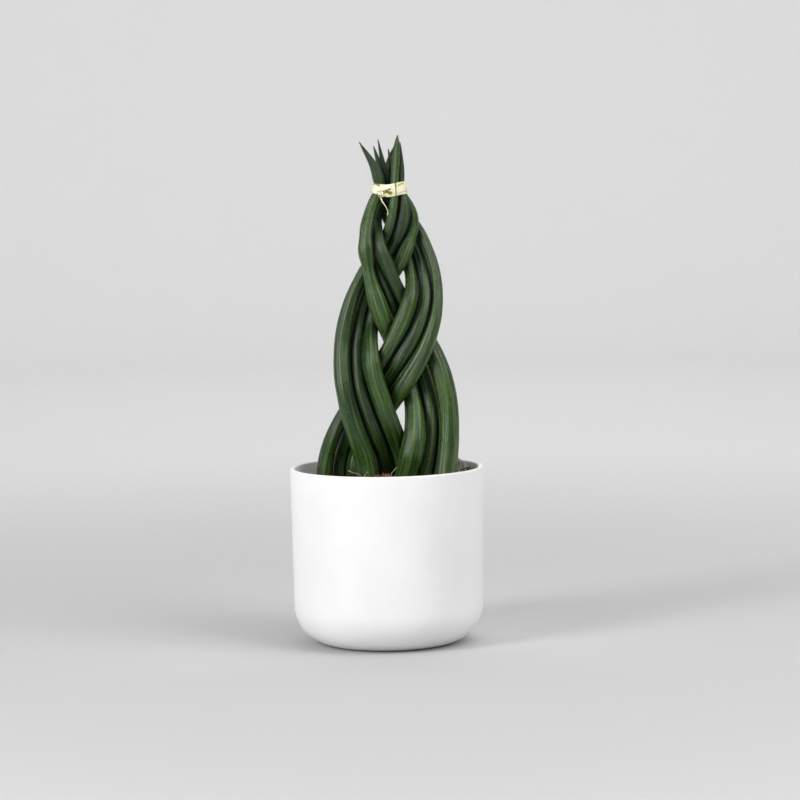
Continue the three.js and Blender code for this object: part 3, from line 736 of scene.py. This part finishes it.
SURFACE = 119  # the soil's height among the leaves
LEAF_CLEAR, POT_CLEAR = 0.5, 0.8  # of crumbs
HEAP_CLEAR = 1.15  # of the heap's spread, kept free of crumbs not its own
CRUMB_TURN = 6.3  # radians, about a full turn
CRUMB_STRETCH = (0.6, 1.25)
CRUMB_KNOBS = (0.72, 1.2)
CRUMB_LIFT = 0.35  # of its size

COIR_SEED, COIR_COUNT, COIR_POINTS = 21, 26, 6
COIR_X, COIR_Y = (-8.5, 4.0), (-22.0, -13.0)
COIR_REACH, COIR_LIFT, COIR_CURL = (1.4, 3.6), (2.5, 6.5), 0.9
COIR_RADIUS, STRAW_RADIUS = 0.20, 0.30
STRAND_TAPER = 0.55
# bits of pale straw that stick out of the soil before the leaves
STRAWS = [
    [(-27.8, -18.2, 127.5), (-24.3, -18.2, 126.0), (-21.4, -18.0, 125.2),
     (-18.5, -17.6, 123.4), (-16.4, -17.0, 121.5)],
    [(-17.2, -17.0, 121.0), (-14.9, -17.4, 125.2), (-13.4, -17.2, 126.4)],
    [(3.2, -17.0, 121.5), (3.5, -17.6, 124.9), (5.0, -17.8, 126.5), (6.1, -17.6, 127.9),
     (7.3, -17.2, 129.4)],
    [(26.0, -18.0, 119.0), (29.0, -20.0, 122.5), (33.0, -19.0, 121.0)],
]


def soil_height(x, y):
    height = SOIL_EDGE_HEIGHT
    for mx, my, rise, spread in SOIL_MOUNDS:
        height += rise * math.exp(-((x - mx) ** 2 + (y - my) ** 2) / (2 * spread * spread))
    return height


def lump_shape():
    """The corners and faces of a small round lump."""
    t = (1 + 5 ** 0.5) / 2
    corners = np.array([
        (-1, t, 0), (1, t, 0), (-1, -t, 0), (1, -t, 0), (0, -1, t), (0, 1, t),
        (0, -1, -t), (0, 1, -t), (t, 0, -1), (t, 0, 1), (-t, 0, -1), (-t, 0, 1)])
    faces = [(0, 11, 5), (0, 5, 1), (0, 1, 7), (0, 7, 10), (0, 10, 11), (1, 5, 9), (5, 11, 4),
             (11, 10, 2), (10, 7, 6), (7, 1, 8), (3, 9, 4), (3, 4, 2), (3, 2, 6), (3, 6, 8),
             (3, 8, 9), (4, 9, 5), (2, 4, 11), (6, 2, 10), (8, 6, 7), (9, 8, 1)]
    return corners / math.hypot(1, t), faces


def build_crumbs(lines, name, count, low, high, seed, mound=None):
    """Crumbs that lie on the soil between the leaves, all over it or gathered on a mound."""
    own = np.random.default_rng(seed)
    corners, shape = lump_shape()
    feet = []
    for line in lines:
        k = int(np.abs(line.z - SURFACE).argmin())
        feet.append((line.x[k], line.y[k], line.radius[k] + LEAF_CLEAR))
    soil_radius = pot_inside(SOIL_EDGE_HEIGHT) - POT_CLEAR
    heap_x, heap_y, _, heap_spread = SOIL_MOUNDS[1]
    points, faces = [], []
    placed = 0
    while placed < count:
        size = own.uniform(low, high)
        if mound is None:
            r = soil_radius * math.sqrt(own.random())
            angle = own.uniform(0, 2 * math.pi)
            x, y = r * math.cos(angle), r * math.sin(angle)
        else:
            x, y = own.normal(mound[:2], mound[3])
        if math.hypot(x, y) > soil_radius - size:
            continue
        if any(math.hypot(x - fx, y - fy) < fr + size for fx, fy, fr in feet):
            continue
        if mound is None and math.hypot(x - heap_x, y - heap_y) < HEAP_CLEAR * heap_spread:
            continue
        turn = np.array(Euler(tuple(own.uniform(0, CRUMB_TURN, 3))).to_matrix())
        stretch = own.uniform(*CRUMB_STRETCH, 3)
        lump = corners * own.uniform(*CRUMB_KNOBS, (len(corners), 1)) * stretch * size
        lump = lump @ turn.T + (x, y, soil_height(x, y) + size * CRUMB_LIFT)
        faces += [tuple(v + len(points) for v in face) for face in shape]
        points += list(lump * MM)
        placed += 1
    return make_mesh(name, points, faces, smooth=False)


def coir_routes():
    """Curly fibres that loop out of the soil at the front middle."""
    own = np.random.default_rng(COIR_SEED)
    routes = []
    for _ in range(COIR_COUNT):
        x, y = own.uniform(*COIR_X), own.uniform(*COIR_Y)
        heading = own.uniform(0, 2 * math.pi)
        reach, lift = own.uniform(*COIR_REACH), own.uniform(*COIR_LIFT)
        route = []
        for k in range(COIR_POINTS):
            t = k / (COIR_POINTS - 1)
            curl = heading + own.uniform(-COIR_CURL, COIR_CURL)
            route.append((x + reach * t * math.cos(curl), y + reach * t * math.sin(curl),
                          SURFACE + lift * math.sin(math.pi * (0.1 + 0.8 * t))))
        routes.append(route)
    return routes


def build_strands(name, routes, radius, sides=6, steps=5):
    """Thin fibres along routes of points, as one mesh of closed tubes."""
    points, faces = [], []
    for route in routes:
        path, tangent = smooth_route(route, steps)
        upright = np.abs(tangent[:, 2:]) > 0.9
        side = unit(np.cross(tangent, np.where(upright, [[1.0, 0, 0]], [[0, 0, 1.0]])))
        rear = np.cross(tangent, side)
        start = len(points)
        for k in range(len(path)):
            r = radius * (1 - STRAND_TAPER * k / (len(path) - 1))
            for s in range(sides):
                t = 2 * math.pi * s / sides
                points.append((path[k] + (side[k] * math.cos(t) + rear[k] * math.sin(t)) * r) * MM)
        faces += [tuple(reversed(f)) for f in tube_faces(len(path), sides, start=start)]
    return make_mesh(name, points, faces)


# -------------------------------------------------- tie

OUTLINE_POINTS = 360
FOIL_SMOOTHING = 6
FOIL_BULGE, FOIL_PROUD = 0.10, 0.1
FOIL_WAVES = [(0.16, 0.35, 0.5), (0.07, 1.1, 1.4)]  # height, how fine across and up
CREASE_SINK, CREASE_SHADE_WIDTH = 0.6, 1.6
FOIL_AROUND = 240
FOIL_ROWS = 16
FOIL_THICKNESS = 0.3
FOIL_CLEAR = 0.45
# creases across the front of the foil: two ends (x, z), width, depth, shade (mm)
CREASES = [
    ((9.6, 333.8), (9.9, 331.2), 0.95, 0.35, 1.00),
    ((9.8, 331.2), (10.1, 324.6), 0.85, 0.30, 0.80),
    ((-6.8, 333.2), (-3.9, 332.8), 1.0, 0.25, 0.55),
    ((-3.9, 332.8), (-2.1, 332.2), 1.3, 0.35, 0.95),
    ((1.9, 327.7), (5.9, 329.2), 1.0, 0.40, 1.00),
    ((2.6, 327.2), (6.2, 326.4), 1.9, 0.45, 1.00),
    ((0.9, 327.8), (1.2, 324.2), 0.8, 0.30, 1.00),
    ((-2.9, 327.6), (-0.2, 328.2), 0.6, 0.20, 0.70),
    ((-3.6, 326.6), (-3.4, 324.2), 0.6, 0.20, 0.65),
    ((7.2, 331.0), (8.2, 325.5), 1.4, 0.05, 0.22),
    ((11.3, 331.7), (15.2, 333.3), 0.60, 0.15, 0.75),
    ((11.5, 326.0), (17.0, 327.8), 0.60, 0.12, 0.45),
    ((17.6, 333.5), (17.9, 326.5), 0.70, 0.05, 0.60),
    ((-8.2, 333.5), (-7.6, 326.5), 0.60, 0.05, 0.45),
]

RIBBON_STEPS = 10
RIBBON_CORNERS = [(-1, -0.6), (0, -1), (1, -0.6), (1, 0.6), (0, 1), (-1, 0.6)]
RIBBON_SHADES = [0.05, 0.0, 0.55, 0.75, 0.4, 0.1]  # of its corners
COIL_STEPS, COIL_SHRINK, COIL_ADVANCE = 14, 0.25, 0.5
KNOT_PROUD = 1.4  # of the bundle's front
# x, how far behind the knot's front, z; radius, lean, turns; width, end width, thickness, twist
CURLS = {
    "tie_curl_upper": ((-0.5, 0.0, 326.1), (0.95, 0.5, 1.15), (1.3, 1.0, 0.5, 0.3)),
    "tie_curl_lower": ((-1.9, 0.2, 324.9), (0.85, -0.4, 1.1), (1.2, 0.8, 0.5, -0.3)),
}
FEED_ROUTE = [(5.4, 1.3, 326.2), (3.0, 0.9, 325.4), (1.2, 0.3, 324.6), (-0.3, 0.0, 323.6)]
FEED_SIZES = (1.9, 0.9, 0.5, 0.15)
TAIL_SIZES = (1.0, 0.75, 0.4, 0.4)
TAIL_PROUD, TAIL_WAVE, TAIL_WAVES = 0.5, 0.25, 0.9


def tie_edge(x, y, side):
    """The height of the band's lower (-1) or upper (1) edge over a place."""
    from_sag = np.hypot(x - TIE_SAG_X, y - TIE_SAG_Y) / TIE_SAG_SPREAD
    sag = (TIE_SAG_LOWER if side < 0 else TIE_SAG_UPPER) * np.exp(-from_sag ** 2 / 2)
    return TIE_HEIGHT + TIE_TILT * y + side * (TIE_HALF_WIDTH + TIE_WIDENING * x) - sag


def bundle_outline(lines, side):
    """The outline of the tied bundle at an edge of the tie, a little way out."""
    tied = []
    for line in lines:
        above = line.z - tie_edge(line.x, line.y, side)
        k = int(np.argmax(above > 0))
        share = above[k - 1] / (above[k - 1] - above[k])
        rise = line.z[k] - line.z[k - 1]
        tied.append((
            line.x[k - 1] + (line.x[k] - line.x[k - 1]) * share,
            line.y[k - 1] + (line.y[k] - line.y[k - 1]) * share,
            max(line.radius[k - 1], line.radius[k]),
            (line.x[k] - line.x[k - 1]) / rise,
            (line.y[k] - line.y[k - 1]) / rise,
        ))
    outline = []
    for t in around(OUTLINE_POINTS):
        nx, ny = math.cos(t), math.sin(t)
        best = max(tied, key=lambda p: p[0] * nx + p[1] * ny
                   + p[2] * math.hypot(1, p[3] * nx + p[4] * ny))
        reach = best[2] * math.hypot(1, best[3] * nx + best[4] * ny) + FOIL_CLEAR
        outline.append((best[0] + reach * nx, best[1] + reach * ny))
    return np.array(outline)


def matched(low, high):
    """Two closed outlines as evenly spaced points that keep facing each other."""
    loops = [np.concatenate([outline, outline[:1]]) for outline in (low, high)]
    shares = 0
    for loop in loops:
        steps = np.linalg.norm(np.diff(loop, axis=0), axis=1)
        shares = shares + np.concatenate([[0], np.cumsum(steps)]) / steps.sum() / 2
    at = np.arange(FOIL_AROUND) / FOIL_AROUND
    return [np.stack([np.interp(at, shares, loop[:, a]) for a in (0, 1)], axis=1)
            for loop in loops]


def crease_press(x, z):
    """How deep the foil is pressed in at a place of its front, and how shaded it is there."""
    depth = shade = 0.0
    for (x0, z0), (x1, z1), width, deep, dark in CREASES:
        along = ((x - x0) * (x1 - x0) + (z - z0) * (z1 - z0)) / ((x1 - x0) ** 2 + (z1 - z0) ** 2)
        along = min(max(along, 0.0), 1.0)
        off = math.hypot(x - x0 - along * (x1 - x0), z - z0 - along * (z1 - z0)) / width
        inside = max(0.0, 1 - off)
        depth += deep * inside
        shade = max(shade, dark * min(1.0, CREASE_SHADE_WIDTH * inside))
    return depth, shade


def build_band(lines):
    """The foil band: a closed strip with creases pressed into its front."""
    low, high = matched(bundle_outline(lines, -1), bundle_outline(lines, 1))
    for _ in range(FOIL_SMOOTHING):
        low = (np.roll(low, 1, 0) + 2 * low + np.roll(low, -1, 0)) / 4
        high = (np.roll(high, 1, 0) + 2 * high + np.roll(high, -1, 0)) / 4
    grid = np.zeros((FOIL_ROWS + 1, FOIL_AROUND, 3))
    for r in range(FOIL_ROWS + 1):
        v = r / FOIL_ROWS
        flat = low * (1 - v) + high * v
        bottom = tie_edge(flat[:, 0], flat[:, 1], -1)
        top = tie_edge(flat[:, 0], flat[:, 1], 1)
        grid[r, :, :2] = flat
        grid[r, :, 2] = bottom + (top - bottom) * v
    middle = grid[:, :, :2].mean(axis=(0, 1))
    outward = grid[:, :, :2] - middle
    outward /= np.linalg.norm(outward, axis=2)[:, :, None]
    swell = np.zeros((FOIL_ROWS + 1, FOIL_AROUND))
    shades = np.zeros((FOIL_ROWS + 1, FOIL_AROUND))
    for r in range(FOIL_ROWS + 1):
        for k in range(FOIL_AROUND):
            x, y, z = grid[r, k]
            for height, across, up in FOIL_WAVES:
                swell[r, k] += height * noise.noise(Vector((x * across, y * across, z * up)))
            swell[r, k] += FOIL_BULGE * math.sin(math.pi * r / FOIL_ROWS)
            if y < middle[1]:
                depth, shades[r, k] = crease_press(x, z)
                swell[r, k] -= depth * CREASE_SINK
    grid[:, :, :2] += outward * (swell[:, :, None] + FOIL_PROUD)
    inside = grid.copy()
    inside[:, :, :2] -= outward * FOIL_THICKNESS
    outer = grid.reshape(-1, 3)
    points = np.concatenate([outer, inside.reshape(-1, 3)]) * MM
    half = len(outer)
    faces = []
    for r in range(FOIL_ROWS):
        for k in range(FOIL_AROUND):
            n = (k + 1) % FOIL_AROUND
            a, b = r * FOIL_AROUND, (r + 1) * FOIL_AROUND
            faces.append((a + k, a + n, b + n, b + k))
            faces.append((half + b + k, half + b + n, half + a + n, half + a + k))
    top = FOIL_ROWS * FOIL_AROUND
    for k in range(FOIL_AROUND):
        n = (k + 1) % FOIL_AROUND
        faces.append((half + k, half + n, n, k))
        faces.append((top + k, top + n, half + top + n, half + top + k))
    band = make_mesh("tie_band", points, faces)
    store(band, "foil_shade", np.tile(shades.ravel(), 2))
    return band


def ribbon(name, route, width, end_width, thickness, turns):
    """A thin twisted ribbon along a route of points, as a closed solid."""
    path, tangent = smooth_route(route, RIBBON_STEPS)
    side = unit(np.cross(tangent, [[0, 1.0, 0]]))
    face = np.cross(side, tangent)
    points = []
    for k in range(len(path)):
        share = k / (len(path) - 1)
        w = (width + (end_width - width) * share) / 2
        t = 2 * math.pi * turns * share
        across = side[k] * math.cos(t) + face[k] * math.sin(t)
        out = face[k] * math.cos(t) - side[k] * math.sin(t)
        for a, b in RIBBON_CORNERS:
            points.append((path[k] + across * w * a + out * thickness / 2 * b) * MM)
    band = make_mesh(name, points, tube_faces(len(path), len(RIBBON_CORNERS)))
    store(band, "foil_shade", np.tile(RIBBON_SHADES, len(path)))
    return band


def front_at(outline, x):
    """Where the front of a closed outline crosses the plane at x."""
    ends = np.roll(outline, -1, axis=0)
    run = ends[:, 0] - outline[:, 0]
    share = (x - outline[:, 0]) / np.where(run == 0, 1, run)
    depth = outline[:, 1] + (ends[:, 1] - outline[:, 1]) * share
    return depth[(share >= 0) & (share <= 1) & (run != 0)].min()


def loop_route(x, depth, z, radius, lean, turns):
    """A coil that faces the front, from its lower side."""
    steps = int(COIL_STEPS * turns)
    route = []
    for k in range(steps + 1):
        t = -math.pi / 2 + 2 * math.pi * turns * k / steps
        shrink = 1 - COIL_SHRINK * k / steps
        route.append((x + radius * shrink * math.cos(t),
                      depth + lean * math.sin(t) - COIL_ADVANCE * k / steps,
                      z + radius * shrink * math.sin(t)))
    return route


def build_knot(lines):
    """The twisted ends of the foil: two curls, the fold that feeds them and a hanging tail."""
    depth = front_at(bundle_outline(lines, -1), KNOT_X) - KNOT_PROUD
    pieces = [ribbon(name, loop_route(x, depth + behind, z, *coil), *sizes)
              for name, ((x, behind, z), coil, sizes) in CURLS.items()]
    feed = [(x, depth + behind, z) for x, behind, z in FEED_ROUTE]
    tail = [(x, depth - TAIL_PROUD + TAIL_WAVE * math.sin(TAIL_WAVES * k), z)
            for k, (x, z) in enumerate(TAIL_ROUTE)]
    return [*pieces, ribbon("tie_feed", feed, *FEED_SIZES), ribbon("tie_tail", tail, *TAIL_SIZES)]


# -------------------------------------------------- build

lines = [Line(name) for name in LEAVES]
fit_side_by_side(lines)
settle(lines)

skin = leaf_material()
white = pot_material()
foil = foil_material()

put("pot_body", build_pot(), node="pot", material=white)
for index, line in enumerate(lines):
    put(line.name + "_body", build_leaf(lines, line, index + 1),
        node=line.name, material=skin)

earth = soil_material("potting_soil", (0.012, 0.009, 0.007), (0.085, 0.062, 0.044))
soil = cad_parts["soil"]
soil.data.materials.clear()
soil.data.materials.append(earth)
grey_crumb = soil_material("soil_crumb_grey", (0.10, 0.08, 0.065), (0.34, 0.29, 0.24))
grit = soil_material("soil_grit", (0.17, 0.145, 0.12), (0.58, 0.53, 0.47))
dark_crumb = soil_material("soil_crumb_dark", (0.014, 0.010, 0.008), (0.110, 0.080, 0.056))
bark = soil_material("soil_bark", (0.030, 0.016, 0.010), (0.150, 0.080, 0.045))
# name, how many, least and greatest size, seed, mound they gather on, look
CRUMBS = [
    ("soil_crumbs_dark", 2600, 0.35, 1.1, 11, None, dark_crumb),
    ("soil_crumbs_grey", 700, 0.4, 1.0, 12, None, grey_crumb),
    ("soil_bark", 220, 0.9, 1.9, 13, None, bark),
    ("soil_grit", 1300, 0.28, 0.75, 14, SOIL_MOUNDS[1], grit),
]
for name, count, low, high, seed, mound, look in CRUMBS:
    put(name, build_crumbs(lines, name, count, low, high, seed, mound),
        material=look)

coir = fibre_material("coir", (0.13, 0.045, 0.018), (0.60, 0.30, 0.15))
straw = fibre_material("straw", (0.30, 0.22, 0.13), (0.66, 0.56, 0.40))
put("coir_fibres", build_strands("coir_fibres", coir_routes(), COIR_RADIUS),
    material=coir)
put("straw_bits", build_strands("straw_bits", STRAWS, STRAW_RADIUS),
    material=straw)

put("tie_band", build_band(lines), node="tie", material=foil)
for curl in build_knot(lines):
    put(curl.name, curl, node="tie", material=foil)

# -------------------------------------------------- stage, light, camera

# metres: the flat floor's radius, the sweep that rises from it and the wall's top
STAGE_FLOOR, STAGE_SWEEP, STAGE_TOP = 2.7, 0.8, 3.2
FLOOR_RINGS = [0.6, 1.4]
SWEEP_STEPS, STAGE_SIDES = 20, 96
PAPER_TONE, PAPER_GRAIN = 0.72, 0.006
# painted shade: the paper is darker near the pot, out to these metres, to even out the stronger
# light on the floor there
PAPER_PAINTED_SHADE, PAPER_PAINTED_SHADE_WITHIN = 0.53, (0.3, 1.4)

# name, place, what it faces, size, watts
LIGHTS = [
    ("key_left", (-1.30, -1.10, 0.75), (0, 0, 0.25), (0.5, 1.6), 26),
    ("fill_right", (1.25, -0.9, 1.25), (0, 0, 0.15), (1.2, 1.4), 19),
    ("top", (0.5, -0.2, 1.7), (0, 0, 0.1), (1.0, 1.0), 7),
    ("back_wash", (0.0, 1.5, 2.7), (0, 3.1, 0.4), (3.0, 0.8), 50),
    ("rear_wash", (0.0, -1.7, 2.8), (0, -3.3, 0.8), (3.0, 0.8), 18),
]
WORLD_STRENGTH = 0.08

CAMERA_LENS, CAMERA_SENSOR = 135, 36
CAMERA_PLACE = (0.0105, -2.167, 0.366)
CAMERA_PITCH, CAMERA_ROLL = 5.0, -0.91  # degrees: looks down; below zero, right side down
CAMERA_CLIP = (0.1, 30)


def build_stage():
    """A round studio: a flat floor that sweeps up into a wall on every side."""
    m = Nodes("studio_paper")
    place = m.place()
    fibre = m.noise(place, 60.0, 3, 0.5)
    paper = m.mix(fibre, grey(PAPER_TONE - PAPER_GRAIN), grey(PAPER_TONE + PAPER_GRAIN))
    # painted shade around the pot
    colour = m.mix(m.range(m.length(place), *PAPER_PAINTED_SHADE_WITHIN, 1, 0), paper, grey(PAPER_PAINTED_SHADE))
    m.surface(Base_Color=colour, Roughness=0.9)
    profile = [(r, 0.0) for r in (*FLOOR_RINGS, STAGE_FLOOR)]
    profile += [(STAGE_FLOOR + STAGE_SWEEP * math.sin(t), STAGE_SWEEP * (1 - math.cos(t)))
                for t in np.linspace(0, math.pi / 2, SWEEP_STEPS)[1:]]
    profile.append((STAGE_FLOOR + STAGE_SWEEP, STAGE_TOP))
    points = [(0, 0, 0)]
    for r, z in profile:
        points += [(r * math.cos(t), r * math.sin(t), z) for t in around(STAGE_SIDES)]
    faces = [(0, 1 + k, 1 + (k + 1) % STAGE_SIDES) for k in range(STAGE_SIDES)]
    for ring in range(len(profile) - 1):
        low, high = 1 + ring * STAGE_SIDES, 1 + (ring + 1) * STAGE_SIDES
        for k in range(STAGE_SIDES):
            n = (k + 1) % STAGE_SIDES
            faces.append((low + k, high + k, high + n, low + n))
    stage = make_mesh("studio_sweep", points, faces)
    stage.data.materials.append(m.material)


def area_light(name, place, target, size, power):
    light = bpy.data.lights.new(name, "AREA")
    light.shape = "RECTANGLE"
    light.size, light.size_y = size
    light.energy = power
    obj = bpy.data.objects.new(name, light)
    obj.location = place
    direction = Vector(target) - Vector(place)
    obj.rotation_euler = direction.to_track_quat("-Z", "Y").to_euler()
    bpy.context.scene.collection.objects.link(obj)


build_stage()
for light in LIGHTS:
    area_light(*light)

world = bpy.data.worlds.new("studio")
world.use_nodes = True
background = world.node_tree.nodes["Background"].inputs
background["Color"].default_value = grey(1)
background["Strength"].default_value = WORLD_STRENGTH
bpy.context.scene.world = world
view = bpy.context.scene.view_settings
view.view_transform, view.look = "Standard", "None"

camera = bpy.data.cameras.new("camera")
camera.sensor_width = CAMERA_SENSOR
camera.lens = CAMERA_LENS
camera.clip_start, camera.clip_end = CAMERA_CLIP
camera_object = bpy.data.objects.new("camera", camera)
pitch, roll = math.radians(CAMERA_PITCH), math.radians(CAMERA_ROLL)
forward = Vector((0, math.cos(pitch), -math.sin(pitch)))
up = Vector((0, math.sin(pitch), math.cos(pitch)))
right = Vector((1, 0, 0))
turned_right = math.cos(roll) * right + math.sin(roll) * up
turned_up = -math.sin(roll) * right + math.cos(roll) * up
rows = [(turned_right[a], turned_up[a], -forward[a], CAMERA_PLACE[a]) for a in range(3)]
camera_object.matrix_world = Matrix((*rows, (0, 0, 0, 1)))
bpy.context.scene.collection.objects.link(camera_object)
bpy.context.scene.camera = camera_object
